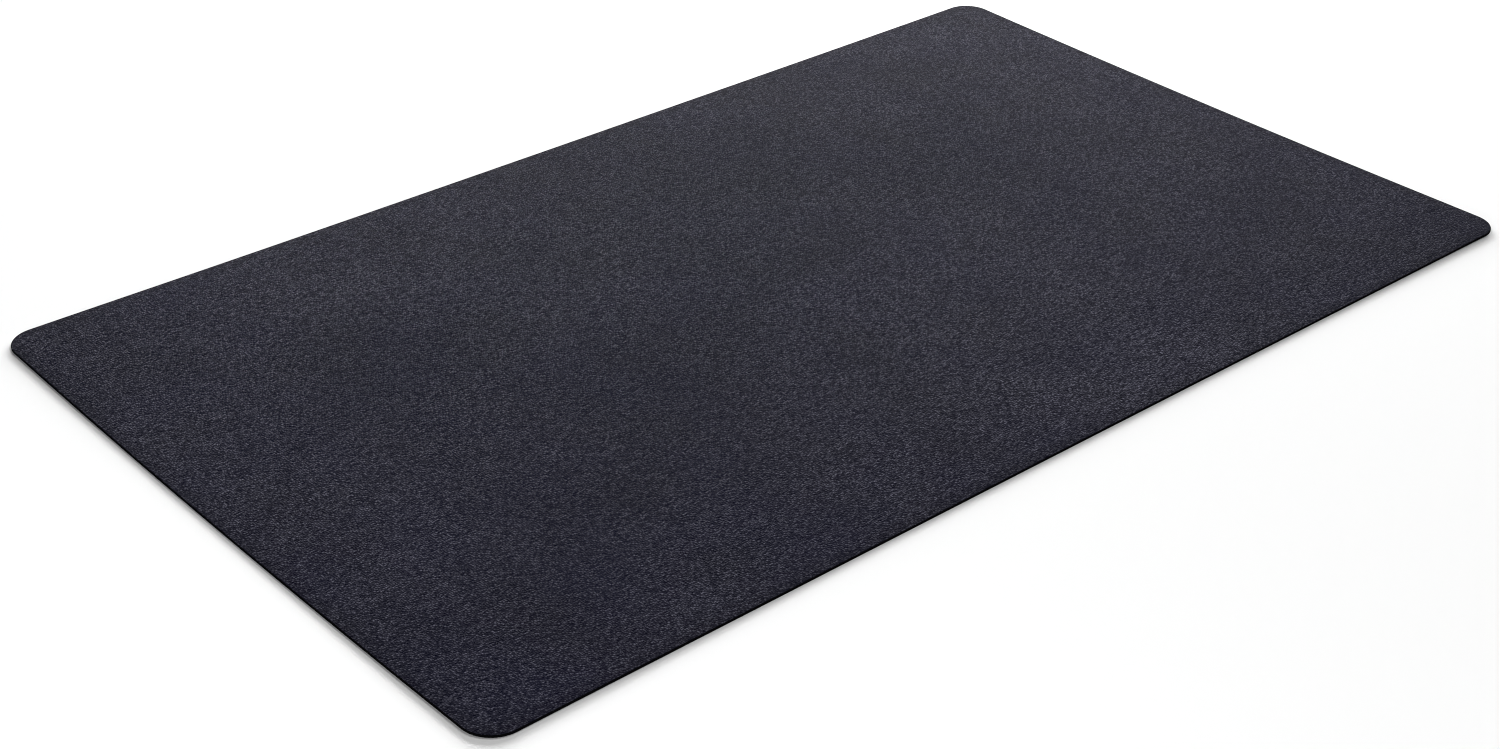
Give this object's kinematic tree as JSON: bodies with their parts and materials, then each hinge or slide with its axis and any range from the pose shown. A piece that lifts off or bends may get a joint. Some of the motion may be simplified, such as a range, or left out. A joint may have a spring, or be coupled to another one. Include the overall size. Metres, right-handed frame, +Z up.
{
  "type": "anti-fatigue mat",
  "caption": "Thin rectangular floor mat with rounded corners: pebbled skin, foam core and non-slip backing bonded into one flexible sheet to stand on.",
  "frame": {"origin": "on the floor, under the middle of the mat", "axes": "+X along the mat's length, +Y across its width, +Z up out of the floor"},
  "size_m": [1.524, 0.9144, 0.0033],
  "materials": {
    "embossed_vinyl": "charcoal, fine pebble emboss, soft satin sheen",
    "closed_cell_foam": "matte, fine closed cells",
    "grip_rubber": "matte black, fine raised grip pattern"
  },
  "bodies": {
    "root": {"wear_skin": "embossed_vinyl", "cushion_core": "closed_cell_foam", "grip_backing": "grip_rubber"}
  },
  "joints": []
}
